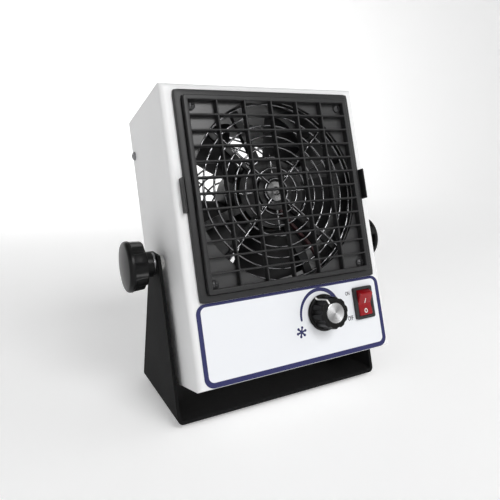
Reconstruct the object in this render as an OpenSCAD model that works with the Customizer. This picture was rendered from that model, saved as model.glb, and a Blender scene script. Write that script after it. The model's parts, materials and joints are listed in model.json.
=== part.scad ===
// Benchtop ionizing air blower. A fan, an ion emitter and their controls sit in a folded
// sheet-metal case. The case leans back between the arms of a U-shaped stand, on two studs
// that hand knobs clamp. Lengths are in millimetres.

/* [Case] */
// Width of the case, side to side
case_w = 138.5; // [138:0.5:146]
// Height of the case, along its front panel
case_h = 178; // [177:0.5:190]
// Depth of the case, front panel to rear panel
case_d = 76; // [76:0.5:90]
// Thickness of the case sheet
sheet = 1.2; // [1:0.1:1.5]
// Outside radius of the bends round the front panel
bend_r = 3; // [2:0.5:5]
// How far the case leans back from upright, in degrees
lean = 15; // [0:1:20]
// Height of the tilt axis above the case's bottom
axis_up = 75.7; // [74:0.1:80]
// Depth of the tilt axis behind the front panel
axis_back = 37.5; // [36:0.5:40]

/* [Stand] */
// Height of the tilt axis above the table
axis_z = 96; // [96:0.5:120]
// Thickness of the stand's plate
stand_t = 2; // [1.5:0.5:2.5]
// Outside radius of the stand's two bends
stand_bend_r = 3.5; // [3:0.5:6]
// Radius of the rounded top of each arm
arm_top_r = 10; // [8:0.5:14]
// How far the stand reaches in front of the tilt axis
stand_front = 33.7; // [28:0.1:45]
// How far the stand reaches behind the tilt axis
stand_rear = 43.7; // [35:0.1:55]
// Diameter of a rubber foot
foot_d = 10; // [8:0.5:14]
// Height of a rubber foot
foot_h = 3; // [2:0.5:5]
// Diameter of the two bolt holes in the stand's base
base_hole_d = 5; // [4:0.5:6]
// Distance between those two bolt holes
base_hole_pitch = 80; // [60:5:100]

/* [Tilt clamp] */
// Diameter of the clamp studs
stud_d = 6; // [5:1:6]
// Length of the white spacer between the case and an arm
spacer_l = 3.6; // [3:0.1:5]
// Diameter of that spacer
spacer_d = 9.6; // [9:0.1:12]
// Diameter of the plain washer under a hand knob
washer_d = 14; // [12:0.5:16]
// Largest diameter of a hand knob
hand_knob_d = 31.6; // [28:0.1:36]
// Length of a hand knob's grip, without its boss
grip_l = 11.8; // [10:0.1:15]
// Number of lobes round the grip
lobes = 6; // [5:1:8]

/* [Grille] */
// Side of the square frame round the air outlet
frame_w = 124.5; // [124:0.5:128]
// Height of the air outlet's centre above the case's bottom
outlet_v = 110.8; // [110:0.1:114]
// Diameter of the round air outlet
outlet_d = 114; // [112:0.5:115]
// Side of the raised clip-on cover
cover_w = 115.8; // [114:0.1:116]
// Front of the cover, measured from the front panel
cover_front = 6.2; // [5:0.1:8]
// Number of openings across the cover
cells_x = 6; // [4:1:8]
// Number of openings up the cover
cells_y = 12; // [8:1:16]
// Thickness of the cover's bars
bar_t = 1.1; // [0.8:0.1:1.4]
// Height of the frame's finger tabs
tab_h = 20; // [14:1:26]

/* [Wire guards] */
// Diameter of the guards' wire
wire_d = 1.8; // [1.4:0.1:2]
// Radius of the outermost ring, to the wire's centre
ring_r = 55.8; // [54:0.1:55.8]
// Distance from one ring to the next
ring_pitch = 6.8; // [6:0.1:7]
// Number of rings
ring_count = 8; // [6:1:8]

/* [Fan] */
// Side of the fan's square housing
fan_w = 119; // [118:0.5:119]
// Depth of the fan's housing
fan_l = 38; // [32:1:38]
// Distance between the fan's corner holes
fan_hole_pitch = 105; // [104.5:0.5:105.5]
// Diameter across the rotor's blade tips
rotor_d = 112; // [108:0.5:113]
// Diameter of the rotor's hub
hub_d = 50; // [44:1:54]
// Number of blades
blades = 5; // [3:1:7]
// Blade pitch at the hub, in degrees from the rotor's plane
root_pitch = 44; // [35:1:50]
// Blade pitch at the tip, in degrees from the rotor's plane
tip_pitch = 29; // [22:1:34]

/* [Emitter] */
// Diameter of the emitter's hub
emitter_hub_d = 24; // [20:1:28]
// Number of ion needles
needles = 8; // [4:4:8]
// Length of a needle outside the hub
needle_l = 13; // [8:1:16]
// Diameter of the high-voltage lead
lead_d = 2.6; // [2:0.1:3]

/* [Controls] */
// Sideways place of the speed knob from the case's middle
knob_u = 19.55; // [16:0.5:22]
// Height of the speed knob above the case's bottom
knob_v = 30.4; // [28:0.1:32]
// Diameter of the speed knob's skirt
skirt_d = 23.4; // [21:0.1:25]
// Diameter of the speed knob's fluted body
knob_d = 20.4; // [16:0.1:21]
// Number of flutes round the speed knob
flutes = 10; // [8:1:12]
// Sideways place of the power switch from the case's middle
switch_u = 51.5; // [50:0.5:54]
// Height of the power switch above the case's bottom
switch_v = 31.8; // [28:0.1:32]
// Whole angle through which the rocker tips, in degrees
rocker_throw = 24; // [16:1:26]

/* [Hidden] */
$fn = 64;
// overshoot that keeps cuts clean
eps = 0.5;
// gap between faces that slide on each other
slip = 0.05;

// inside of the case
inner_w = case_w - 2 * sheet;
inner_h = case_h - 2 * sheet;

// layers behind the front panel, along the outward axis
guard_z = -sheet - wire_d / 2;
emitter_z = -sheet - wire_d;
emitter_t = 6;
fan_z = emitter_z - emitter_t;
fan_end = fan_z - fan_l;
flange_t = 4;
fan_hole_r = 2.2;
fan_bore_r = outlet_d / 2 + 1;
screw_r = 2;

// grille frame and cover
plate_t = 1.8;
frame_t = 2.8;
cover_back = plate_t + 0.1;
cover_open = cover_w - 4.8;
cell_w = cover_open / cells_x;
cell_h = cover_open / cells_y;

// rear panel
rear_z = -case_d;
rear_w = inner_w - 0.4;
rear_h = inner_h - 0.4;
rear_flange_l = 12;
side_screw_z = -case_d + 4.8;
side_screw_v = [25.2, 152.8];
side_screw_r = 1.5;
inlet_u = -30;
inlet_v = 25;
inlet_screw_pitch = 40;

// controls
label_w = 131.9;
label_h = outlet_v - frame_w / 2 - 0.95;
label_u = 0.6;
label_v = label_h / 2 + 0.85;
label_t = 0.3;
tab_gap = 1.4;
tab_t = 1;
tab_out = 5.9;
bezel_w = 15;
bezel_h = 21;
bezel_t = 2;
rocker_w = 10.4;
rocker_r = 8.9;
rocker_axis_z = -0.5;
rocker_pin_r = 1.2;
shaft_r = 3;
bushing_r = 3.5;
knob_top = 13;

// stand and clamp stack, outward from the case's side
arm_z = spacer_l + slip;
washer_z = arm_z + stand_t + slip;
washer_t = 1.5;
boss_z = washer_z + washer_t + slip;
boss_l = 5.2;
boss_d = 16;
grip_z = boss_z + boss_l;
stud_tip = -7;
stand_w = case_w + 2 * (arm_z + stand_t);

// high-voltage block and board
block = [52, 28, 30];
block_at = [-62, sheet, -45];
board = [52, 1.6, 42];
board_at = [6, sheet + 6, -68];
standoff_r = 2.5;

// sideways place of the slot that lets the high-voltage lead into the emitter's frame
lead_slot_x = 27;

// route of the high-voltage lead from the block to the emitter hub
lead_points = [[-34, 31, -30], [-34, 36, -30], [-31, 42, -27], [-22, 46, -20], [-8, 47, -12],
    [6, 47, -7.5], [18, 47.3, -6], [24, 47.6, -6], [27, 50.1, -6], [27, 56.6, -6], [25, 65.6, -6],
    [20.5, 74.6, -6], [16, 80.6, -6], [10.5, 87.6, -6], [5.5, 93.6, -6], [2.8, 96.6, -6], [2.6, 98.8, -6]];

// Places its children in the leaning case: X right, Y up the front panel, Z out of the
// front, with the origin at the bottom middle of the front panel
module on_case() {
    translate([0, 0, axis_z]) rotate([-lean, 0, 0])
        translate([0, -axis_back, -axis_up]) rotate([90, 0, 0]) children();
}

// The same, centred on the air outlet
module on_outlet() {
    on_case() translate([0, outlet_v, 0]) children();
}

// Places its children on the tilt axis at a side of the case, with Z outward
module on_side(side) {
    translate([side * case_w / 2, 0, axis_z]) rotate([0, side * 90, 0]) children();
}

module at_fan_holes() {
    for (x = [-1, 1], y = [-1, 1])
        translate([x * fan_hole_pitch / 2, y * fan_hole_pitch / 2, 0]) children();
}

module round_rect(w, h, r) {
    square([w, h - 2 * r], center = true);
    square([w - 2 * r, h], center = true);
    for (x = [-1, 1], y = [-1, 1]) translate([x * (w / 2 - r), y * (h / 2 - r)]) circle(r);
}

module round_plate(w, h, t, r) {
    linear_extrude(t) round_rect(w, h, r);
}

module ring(outer, inner, t) {
    linear_extrude(t) difference() {
        circle(outer);
        circle(inner);
    }
}

module hex_nut(across, t, bore_r) {
    difference() {
        cylinder(d = across / cos(30), h = t, $fn = 6);
        translate([0, 0, -eps]) cylinder(r = bore_r, h = t + 2 * eps);
    }
}

// Pan-head screw with a cross recess: the head stands on Z = 0 and the shank goes down
module pan_screw(shank_r, shank_l, head_r, head_h) {
    recess = [head_r * 1.1, head_r * 0.26, head_h];
    dome_r = head_r * 1.5;
    difference() {
        intersection() {
            cylinder(r = head_r, h = head_h);
            translate([0, 0, head_h - dome_r]) sphere(dome_r);
        }
        for (a = [0, 90]) rotate(a) translate([0, 0, head_h]) cube(recess, center = true);
    }
    translate([0, 0, -shank_l]) cylinder(r = shank_r, h = shank_l);
}

// ---- stand ----

// Point where a line from p touches the circle of radius r round the origin. The arms use a
// circle a hair smaller than their round top, so that the straight edges cut into the round.
function touch(p, r, way) =
    let (a = atan2(p.y, p.x) + way * acos(r / norm(p))) r * [cos(a), sin(a)];

module arm_outline() {
    foot = -(axis_z - foot_h);
    front = [-stand_front, foot];
    rear = [stand_rear, foot];
    inner_r = arm_top_r - 0.02;
    circle(arm_top_r);
    polygon([front, rear, touch(rear, inner_r, 1), touch(front, inner_r, -1)]);
}

module stand_section() {
    half = stand_w / 2;
    translate([-half, foot_h + stand_bend_r]) square([stand_w, axis_z]);
    translate([-half + stand_bend_r, foot_h]) square([stand_w - 2 * stand_bend_r, axis_z]);
    for (s = [-1, 1]) translate([s * (half - stand_bend_r), foot_h + stand_bend_r])
        circle(stand_bend_r);
}

module stand_inside() {
    half = stand_w / 2 - stand_t;
    r = stand_bend_r - stand_t;
    low = foot_h + stand_t;
    translate([-half, low + r]) square([2 * half, 2 * axis_z]);
    translate([-half + r, low]) square([2 * (half - r), 2 * axis_z]);
    for (s = [-1, 1]) translate([s * (half - r), low + r]) circle(r);
}

module stand_bracket() {
    color("#242424") difference() {
        intersection() {
            translate([0, 100, 0]) rotate([90, 0, 0]) linear_extrude(200) difference() {
                stand_section();
                stand_inside();
            }
            translate([-stand_w / 2, 0, axis_z]) rotate([90, 0, 90])
                linear_extrude(stand_w) arm_outline();
        }
        translate([-stand_w, 0, axis_z]) rotate([0, 90, 0])
            cylinder(r = stud_d / 2 + 0.1, h = 2 * stand_w);
        for (s = [-1, 1]) translate([s * base_hole_pitch / 2, (stand_rear - stand_front) / 2, 0])
            cylinder(d = base_hole_d, h = 10);
    }
}

module stand_feet() {
    inset = foot_d / 2 + 6;
    for (s = [-1, 1], y = [-stand_front + inset - 1, stand_rear - inset + 1])
        color("#1b1b1b") translate([s * (stand_w / 2 - inset), y, 0])
            cylinder(d1 = foot_d - 1, d2 = foot_d, h = foot_h);
}

// ---- case ----

// Outline of a bent front edge: flat front at Y = 0, open at the back
module bent_profile(w, d, r) {
    translate([-w / 2, -d]) square([w, d - r]);
    translate([-w / 2 + r, -d]) square([w - 2 * r, d]);
    for (s = [-1, 1]) translate([s * (w / 2 - r), -r]) circle(r);
}

// Box whose four front edges are bends
module bent_box(w, h, d, r) {
    intersection() {
        translate([0, h, 0]) rotate([90, 0, 0]) linear_extrude(h) bent_profile(w, d, r);
        translate([-w / 2, h / 2, 0]) rotate([90, 0, 90]) linear_extrude(w) bent_profile(h, d, r);
    }
}

module case_shell() {
    color("#eeeeee") on_case() difference() {
        bent_box(case_w, case_h, case_d, bend_r);
        translate([0, sheet, -sheet]) bent_box(inner_w, inner_h, case_d, bend_r - sheet);
        translate([0, outlet_v, -5]) cylinder(d = outlet_d + 0.6, h = 10);
        translate([0, outlet_v, -5]) at_fan_holes() cylinder(r = fan_hole_r, h = 10);
        translate([knob_u, knob_v, -5]) cylinder(r = bushing_r + 0.1, h = 10);
        translate([switch_u, switch_v, 0]) cube([13, 19.4, 10], center = true);
        translate([-case_w, axis_up, -axis_back]) rotate([0, 90, 0])
            cylinder(r = stud_d / 2 + 0.3, h = 2 * case_w);
        for (v = side_screw_v) translate([-case_w, v, side_screw_z]) rotate([0, 90, 0])
            cylinder(r = side_screw_r + 0.2, h = 2 * case_w);
    }
}

module rear_cover() {
    flange_x = rear_w / 2 - sheet / 2;
    flange_h = rear_h - 24;
    color("#e6e6e6") on_case() difference() {
        union() {
            translate([0, case_h / 2, rear_z]) round_plate(rear_w, rear_h, sheet, 1);
            for (s = [-1, 1])
                translate([s * flange_x, case_h / 2, rear_z + (sheet + rear_flange_l) / 2])
                    cube([sheet, flange_h, sheet + rear_flange_l], center = true);
        }
        translate([0, outlet_v, rear_z - 5]) cylinder(d = outlet_d, h = 10);
        translate([0, outlet_v, rear_z - 5]) at_fan_holes() cylinder(r = fan_hole_r, h = 10);
        translate([inlet_u, inlet_v, rear_z]) cube([28, 20.4, 10], center = true);
        for (s = [-1, 1]) translate([inlet_u + s * inlet_screw_pitch / 2, inlet_v, rear_z - 5])
            cylinder(r = side_screw_r, h = 10);
        for (v = side_screw_v) translate([-case_w, v, side_screw_z]) rotate([0, 90, 0])
            cylinder(r = side_screw_r, h = 2 * case_w);
    }
}

module cover_screws() {
    for (s = [-1, 1], v = side_screw_v) color("#d0d0d2") on_case()
        translate([s * case_w / 2, v, side_screw_z]) rotate([0, s * 90, 0])
            pan_screw(side_screw_r, 6, 3, 2);
}

// ---- air outlet ----

module grille_frame() {
    color("#1d1d1e") on_outlet() difference() {
        union() {
            round_plate(frame_w, frame_w, plate_t, 1.5);
            linear_extrude(frame_t) difference() {
                round_rect(frame_w, frame_w, 1.5);
                square(cover_w + 0.6, center = true);
            }
            for (s = [-1, 1]) {
                translate([s * frame_w / 2, 0, 0.4]) cube([2 * tab_gap + 0.4, tab_h, 0.8], center = true);
                translate([s * (frame_w / 2 + tab_gap + tab_t / 2), 0, tab_out / 2])
                    cube([tab_t, tab_h, tab_out], center = true);
            }
        }
        translate([0, 0, -eps]) cylinder(d = outlet_d, h = 10);
        translate([0, 0, -eps]) at_fan_holes() cylinder(r = fan_hole_r, h = 10);
    }
}

module grille_cover() {
    color("#1f1f20") on_outlet() {
        difference() {
            translate([0, 0, cover_back]) linear_extrude(cover_front - cover_back) difference() {
                round_rect(cover_w, cover_w, 1.5);
                for (i = [0:cells_x - 1], j = [0:cells_y - 1])
                    translate([(i + 0.5) * cell_w - cover_open / 2,
                        (j + 0.5) * cell_h - cover_open / 2])
                            square([cell_w - bar_t, cell_h - bar_t], center = true);
            }
            // room for the screw heads behind the cover
            at_fan_holes() cylinder(r = 3.3, h = frame_t + 1.3);
        }
    }
}

// Concentric rings welded to four diagonal spokes that end in screw loops. The spokes lie
// in the plane Z = 0 and the rings lie below them.
module wire_guard() {
    r = wire_d / 2;
    loop_r = fan_hole_r + r + 0.1;
    loop_at = fan_hole_pitch / sqrt(2);
    inner_r = ring_r - (ring_count - 1) * ring_pitch;
    for (i = [0:ring_count - 1]) translate([0, 0, -wire_d * 0.55])
        rotate_extrude() translate([ring_r - i * ring_pitch, 0]) circle(r);
    for (a = [45:90:315]) rotate(a) {
        translate([inner_r, 0, 0]) rotate([0, 90, 0])
            cylinder(r = r, h = loop_at - loop_r - inner_r);
        translate([loop_at, 0, 0]) rotate_extrude() translate([loop_r, 0]) circle(r);
    }
}

module front_guard() {
    color("#c8cacd") on_outlet() translate([0, 0, guard_z]) wire_guard();
}

module frame_screws() {
    color("#b9b9bb") on_outlet() translate([0, 0, plate_t]) at_fan_holes()
        pan_screw(screw_r, plate_t - fan_z + flange_t + 5, 2.8, 1.9);
}

module frame_nuts() {
    color("#b9b9bb") on_outlet() translate([0, 0, fan_z - flange_t - 3.2]) at_fan_holes()
        hex_nut(7, 3.2, screw_r);
}

// ---- emitter ----

module emitter_frame() {
    arm_t = 2.2;
    hub_t = emitter_t - 1.6;
    color("#202022") on_outlet() translate([0, 0, fan_z]) difference() {
        union() {
            linear_extrude(emitter_t) difference() {
                round_rect(fan_w, fan_w, 7);
                circle(outlet_d / 2);
            }
            for (a = [45:90:315]) rotate(a) translate([0, -1.6, 0])
                cube([outlet_d / 2 + 1, 3.2, arm_t]);
            cylinder(d = emitter_hub_d, h = hub_t);
        }
        translate([0, 0, -eps]) at_fan_holes() cylinder(r = fan_hole_r, h = 10);
        // slot where the lead comes up from the control space
        translate([lead_slot_x - 2, -fan_w, 1]) cube([4, fan_w - 40, 10]);
        translate([0, 0, hub_t - 4]) cylinder(r = 1.5, h = 10);
    }
}

module emitter_needles() {
    needle_r = 0.5;
    tip_l = 4;
    for (i = [0:needles - 1]) color("#d6d6da") on_outlet()
        rotate(i * 360 / needles) translate([emitter_hub_d / 2, 0, fan_z + 3.3]) rotate([0, 90, 0]) {
            cylinder(r = needle_r, h = needle_l - tip_l);
            translate([0, 0, needle_l - tip_l]) cylinder(r1 = needle_r, r2 = 0.08, h = tip_l);
        }
}

module emitter_contact() {
    color("#c9b27a") on_outlet() translate([0, 0, fan_z + emitter_t - 1.6]) {
        cylinder(r = 6.2, h = 0.8);
        translate([0, 0, 0.8]) pan_screw(1.5, 4, 2.8, 1.6);
    }
}

function catmull(a, b, c, d, t) = 0.5 * (2 * b + (c - a) * t + (2 * a - 5 * b + 4 * c - d) * t * t
    + (3 * b - a - 3 * c + d) * t * t * t);

// Smooth route through hand-picked points, with steps stretches between neighbours
function smooth(p, steps) = [
    for (i = [0:len(p) - 2], k = [0:steps - 1])
        catmull(p[max(i - 1, 0)], p[i], p[i + 1], p[min(i + 2, len(p) - 1)], k / steps),
    p[len(p) - 1]];

function heading(p, i) =
    let (d = p[min(i + 1, len(p) - 1)] - p[max(i - 1, 0)]) d / norm(d);

// Round tube of radius r along a route, with sides faces round it
module tube(p, r, sides) {
    points = [for (i = [0:len(p) - 1])
        let (d = heading(p, i), c = cross(d, [0.2, 0.1, 1]), s = c / norm(c), u = cross(s, d))
            for (j = [0:sides - 1]) p[i] + r * (cos(360 * j / sides) * s + sin(360 * j / sides) * u)];
    last = (len(p) - 1) * sides;
    walls = [for (i = [0:len(p) - 2], j = [0:sides - 1])
        let (a = i * sides + j, b = i * sides + (j + 1) % sides)
            each [[a, a + sides, b], [b, a + sides, b + sides]]];
    ends = [[for (j = [0:sides - 1]) j], [for (j = [sides - 1:-1:0]) last + j]];
    polyhedron(points, concat(walls, ends));
}

module hv_lead() {
    color("#6e1216") on_case() tube(smooth(lead_points, 3), lead_d / 2, 8);
}

// ---- fan ----

module fan_frame() {
    color("#262627") on_outlet() translate([0, 0, fan_end]) difference() {
        union() {
            round_plate(fan_w, fan_w, flange_t, 7);
            translate([0, 0, fan_l - flange_t]) round_plate(fan_w, fan_w, flange_t, 7);
            cylinder(r = fan_w / 2, h = fan_l);
        }
        translate([0, 0, -eps]) cylinder(r = fan_bore_r, h = fan_l + 2 * eps);
        translate([0, 0, -eps]) at_fan_holes() cylinder(r = fan_hole_r, h = fan_l + 2 * eps);
    }
}

// Disc that carries the motor, on four arms that end on the housing's bore
module fan_spider() {
    disc_r = hub_d / 2 - 2;
    color("#262627") on_outlet() translate([0, 0, fan_end + fan_l - 3.6]) {
        translate([0, 0, 0.6]) cylinder(r = disc_r, h = 3);
        intersection() {
            for (a = [20:90:290]) rotate(a) translate([disc_r - 3, -2.5, 0])
                cube([fan_w, 5, 3.6]);
            cylinder(r = fan_bore_r, h = 3.6);
        }
    }
}

module fan_stator() {
    color("#8a5a34") on_outlet() translate([0, 0, fan_z - 26]) difference() {
        union() {
            cylinder(r = 17.5, h = 17);
            cylinder(r = 7, h = 23);
        }
        translate([0, 0, -eps]) cylinder(r = 4.5, h = 30);
    }
}

module fan_bearings() {
    for (z = [fan_z - 7.5, fan_z - 25]) color("#b5b7ba") on_outlet() translate([0, 0, z])
        ring(4.5, 1.55, 4);
}

// Closed loop of section points at one radius: the curved chord goes out along one face of
// the blade and comes back along the other
function blade_section(r, chord, pitch, sweep, bow, thick, n) =
    let (half = [for (side = [1, -1], k = [0:n])
        let (t = side > 0 ? k / n : 1 - k / n, x = (t - 0.5) * chord,
            y = 4 * bow * t * (1 - t) + side * thick * (0.18 + 0.82 * sqrt(4 * t * (1 - t))) / 2,
            across = x * cos(pitch) - y * sin(pitch), along = x * sin(pitch) + y * cos(pitch),
            a = sweep + across / r * 180 / PI)
                [r * cos(a), r * sin(a), along]])
    half;

// Fan blade lofted from the hub to the tip
module blade(r0, r1, stations, n) {
    loop = 2 * (n + 1);
    points = [for (i = [0:stations]) let (f = i / stations)
        each blade_section(r0 + f * (r1 - r0), 31 + 15 * f, root_pitch + f * (tip_pitch - root_pitch),
            -6 * f * f, 2.6, 2.0 - 0.6 * f, n)];
    walls = [for (i = [0:stations - 1], j = [0:loop - 1])
        let (a = i * loop + j, b = i * loop + (j + 1) % loop)
            each [[a, b, a + loop], [b, b + loop, a + loop]]];
    top = stations * loop;
    caps = [for (k = [0:n - 1]) let (a = k, b = k + 1, c = loop - 2 - k, d = loop - 1 - k)
        each [[a, c, b], [a, d, c], [top + a, top + b, top + c], [top + a, top + c, top + d]]];
    polyhedron(points, concat(walls, caps));
}

module fan_rotor() {
    cup_l = fan_l - 7;
    color("#2b2b2d") on_outlet() translate([0, 0, fan_end + 2]) {
        difference() {
            cylinder(d = hub_d, h = cup_l);
            translate([0, 0, 2]) cylinder(d = hub_d - 4, h = cup_l);
            translate([0, 0, -eps]) cylinder(r = 1.5, h = 10);
        }
        difference() {
            cylinder(r = 4, h = 6);
            translate([0, 0, -eps]) cylinder(r = 1.5, h = 10);
        }
        for (i = [0:blades - 1]) rotate(i * 360 / blades) translate([0, 0, cup_l / 2 + 0.6])
            blade(hub_d / 2 - 0.8, rotor_d / 2, 6, 7);
    }
}

module fan_shaft() {
    color("#c4c6c8") on_outlet() translate([0, 0, fan_end + 2]) cylinder(r = 1.5, h = fan_l - 6);
}

// ---- air inlet ----

module rear_guard() {
    color("#c8cacd") on_outlet() translate([0, 0, rear_z - wire_d / 2]) wire_guard();
}

module rear_guard_screws() {
    color("#b9b9bb") on_outlet() translate([0, 0, rear_z - wire_d]) rotate([180, 0, 0])
        at_fan_holes() pan_screw(screw_r, 9, 3.9, 2);
}

module rear_guard_nuts() {
    color("#b9b9bb") on_outlet() translate([0, 0, rear_z + sheet]) at_fan_holes()
        hex_nut(7, 3.2, screw_r);
}

// ---- front controls ----

module control_label() {
    color("#f4f5f7") on_case() translate([label_u, label_v, 0]) linear_extrude(label_t) difference() {
        round_rect(label_w, label_h, 6);
        translate([knob_u - label_u, knob_v - label_v]) circle(bushing_r + 0.1);
        translate([switch_u - label_u, switch_v - label_v]) square([13, 19.4], center = true);
    }
}

module speed_control() {
    color("#9a9c9f") on_case() translate([knob_u, knob_v, 0]) {
        difference() {
            union() {
                translate([0, 0, -sheet - 9.5]) cylinder(r = 8.5, h = 9.5);
                cylinder(r = bushing_r, h = 6.3);
                translate([0, 0, -sheet]) cylinder(r = bushing_r, h = sheet);
            }
            translate([0, 0, -8]) cylinder(r = shaft_r + slip, h = 20);
        }
        for (x = [-5, 0, 5]) translate([x - 0.8, -13.5, -8]) cube([1.6, 7.5, 0.8]);
    }
}

module speed_control_nut() {
    color("#c4c6c8") on_case() translate([knob_u, knob_v, label_t]) hex_nut(10, 2, bushing_r);
}

module speed_control_shaft() {
    color("#c4c6c8") on_case() translate([knob_u, knob_v, -7.6]) cylinder(r = shaft_r, h = 18.2);
}

module speed_knob() {
    skirt_z = label_t + 0.4;
    skirt_t = 1.6;
    flute_r = knob_d / flutes * 0.95;
    color("#1c1c1e") on_case() translate([knob_u, knob_v, 0]) difference() {
        union() {
            translate([0, 0, skirt_z]) cylinder(d = skirt_d, h = skirt_t * 0.5);
            translate([0, 0, skirt_z + skirt_t * 0.5])
                cylinder(d1 = skirt_d, d2 = skirt_d - 1.6, h = skirt_t * 0.5);
            translate([0, 0, skirt_z]) cylinder(d1 = knob_d, d2 = knob_d - 0.6, h = knob_top - skirt_z);
        }
        for (i = [0:flutes - 1]) rotate((i + 0.5) * 360 / flutes)
            translate([knob_d / 2 + flute_r * 0.35, 0, skirt_z + skirt_t + 0.4]) rotate([0, -3, 0])
                cylinder(r = flute_r, h = 20);
        translate([0, 0, -eps]) cylinder(r = 7, h = 7.3 + eps);
        translate([0, 0, -eps]) cylinder(r = shaft_r, h = 10.6 + eps);
        translate([0, 0, knob_top - 0.5]) cylinder(r = 6.4, h = 5);
    }
}

module speed_knob_cap() {
    color("#cfd1d4") on_case() translate([knob_u, knob_v, knob_top - 0.5])
        cylinder(r1 = 6.35, r2 = 6.1, h = 1.2);
}

module switch_body() {
    body_w = 12.8;
    body_h = 19.2;
    body_l = 20;
    color("#202022") on_case() translate([switch_u, switch_v, 0]) difference() {
        union() {
            translate([0, 0, label_t]) round_plate(bezel_w, bezel_h, bezel_t, 1.2);
            translate([0, 0, label_t - body_l / 2]) cube([body_w, body_h, body_l], center = true);
        }
        translate([0, 0, rocker_axis_z]) rotate([0, 90, 0])
            cylinder(r = rocker_r + 0.2, h = rocker_w + 0.4, center = true);
        translate([0, 0, rocker_axis_z]) rotate([0, 90, 0])
            cylinder(r = rocker_pin_r + slip, h = rocker_w + 1.8, center = true);
    }
}

module switch_terminals() {
    for (y = [-5, 2.5]) color("#c9b27a") on_case()
        translate([switch_u - 2.4, switch_v + y, label_t - 20 - 7]) cube([4.8, 0.8, 7]);
}

module switch_rocker() {
    half = rocker_throw / 2;
    rise = 9 * tan(half + 5);
    color("#b3121c") on_case() translate([switch_u, switch_v, rocker_axis_z]) rotate([half, 0, 0]) {
        intersection() {
            rotate([0, 90, 0]) cylinder(r = rocker_r, h = rocker_w, center = true);
            translate([-rocker_w / 2, 0, 0]) rotate([90, 0, 90]) linear_extrude(rocker_w)
                polygon([[-9, -4], [9, -4], [9, 3 + rise], [0, 3], [-9, 3 + rise]]);
        }
        rotate([0, 90, 0]) cylinder(r = rocker_pin_r, h = rocker_w + 1.6, center = true);
    }
}

// ---- mains inlet at the back ----

module inlet_outline(w, h, cut) {
    polygon([[-w / 2, -h / 2], [w / 2, -h / 2], [w / 2, h / 2 - cut], [w / 2 - cut, h / 2],
        [-w / 2 + cut, h / 2], [-w / 2, h / 2 - cut]]);
}

module power_inlet() {
    depth = 16;
    color("#1d1d1e") on_case() translate([inlet_u, inlet_v, rear_z]) difference() {
        union() {
            translate([0, 0, -3]) round_plate(50, 22.5, 3, 6);
            linear_extrude(depth + 1.5) inlet_outline(27.4, 20, 4.5);
        }
        translate([0, 0, -3 - eps]) linear_extrude(depth + 3 + eps) inlet_outline(24.4, 16.6, 4);
        for (s = [-1, 1]) translate([s * inlet_screw_pitch / 2, 0, -5])
            cylinder(r = side_screw_r + 0.1, h = 10);
        at_pins() translate([0, 0, 8]) cube([2, 4, 20]);
    }
}

module at_pins() {
    for (p = [[-7, -2], [0, 2], [7, -2]]) translate([p.x - 1, p.y - 2, 0]) children();
}

module inlet_pins() {
    color("#c4c6c8") on_case() translate([inlet_u, inlet_v, rear_z + 1]) at_pins()
        cube([2, 4, 22]);
}

module inlet_screws() {
    for (s = [-1, 1]) color("#b9b9bb") on_case()
        translate([inlet_u + s * inlet_screw_pitch / 2, inlet_v, rear_z - 3])
            rotate([180, 0, 0]) pan_screw(side_screw_r, 8, 2.8, 1.9);
}

// ---- high-voltage block and control board ----

module hv_module() {
    ear = 9;
    color("#16181c") on_case() translate(block_at) {
        difference() {
            union() {
                cube(block);
                translate([block.x / 2 - 6, 0, -ear]) cube([12, 3, block.z + 2 * ear]);
            }
            for (z = [-ear / 2, block.z + ear / 2]) translate([block.x / 2, -eps, z])
                rotate([-90, 0, 0]) cylinder(r = 1.7, h = 6);
        }
        translate([28, block.y, 15]) rotate([-90, 0, 0]) cylinder(r = 2.6, h = 1.8);
    }
}

module hv_module_screws() {
    ear = 9;
    for (z = [-ear / 2, block.z + ear / 2]) color("#b9b9bb") on_case() translate(block_at)
        translate([block.x / 2, 3, z]) rotate([-90, 0, 0]) pan_screw(1.5, 2.9, 2.8, 1.9);
}

module at_board_corners() {
    for (x = [4, board.x - 4], z = [4, board.z - 4]) translate([x, 0, z]) children();
}

module control_board() {
    color("#2f6b3f") on_case() translate(board_at) difference() {
        cube(board);
        at_board_corners() translate([0, -eps, 0]) rotate([-90, 0, 0]) cylinder(r = 1.6, h = 5);
    }
}

module board_parts() {
    color("#3c4a63") on_case() translate(board_at + [0, board.y, 0]) {
        translate([12, 0, 12]) rotate([-90, 0, 0]) cylinder(r = 5, h = 12);
        translate([24, 0, 11]) rotate([-90, 0, 0]) cylinder(r = 4, h = 10);
        translate([30, 0, 8]) cube([15, 13, 10]);
        translate([10, 0, 24]) cube([12, 10, 8]);
        translate([26, 0, 24]) cube([10, 7, 13]);
        translate([40, 0, 20]) cube([7, 9, 13]);
    }
}

module board_standoffs() {
    color("#c9b27a") on_case() translate([board_at.x, sheet, board_at.z]) at_board_corners()
        rotate([-90, 0, 0]) difference() {
            cylinder(r = standoff_r, h = board_at.y - sheet);
            translate([0, 0, 1]) cylinder(r = 1.5, h = 10);
        }
}

module board_screws() {
    color("#b9b9bb") on_case() translate(board_at + [0, board.y, 0]) at_board_corners()
        rotate([-90, 0, 0]) pan_screw(1.5, 5.5, 2.6, 1.8);
}

// ---- tilt clamp ----

module pivot_nuts() {
    for (s = [-1, 1]) color("#b5b7ba") on_side(s) translate([0, 0, -sheet - 6]) difference() {
        union() {
            cylinder(d = 10 / cos(30), h = 6, $fn = 6);
            translate([0, 0, 4.8]) cylinder(d = 15, h = 1.2);
        }
        translate([0, 0, -eps]) cylinder(r = stud_d / 2 + slip, h = 10);
    }
}

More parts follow.
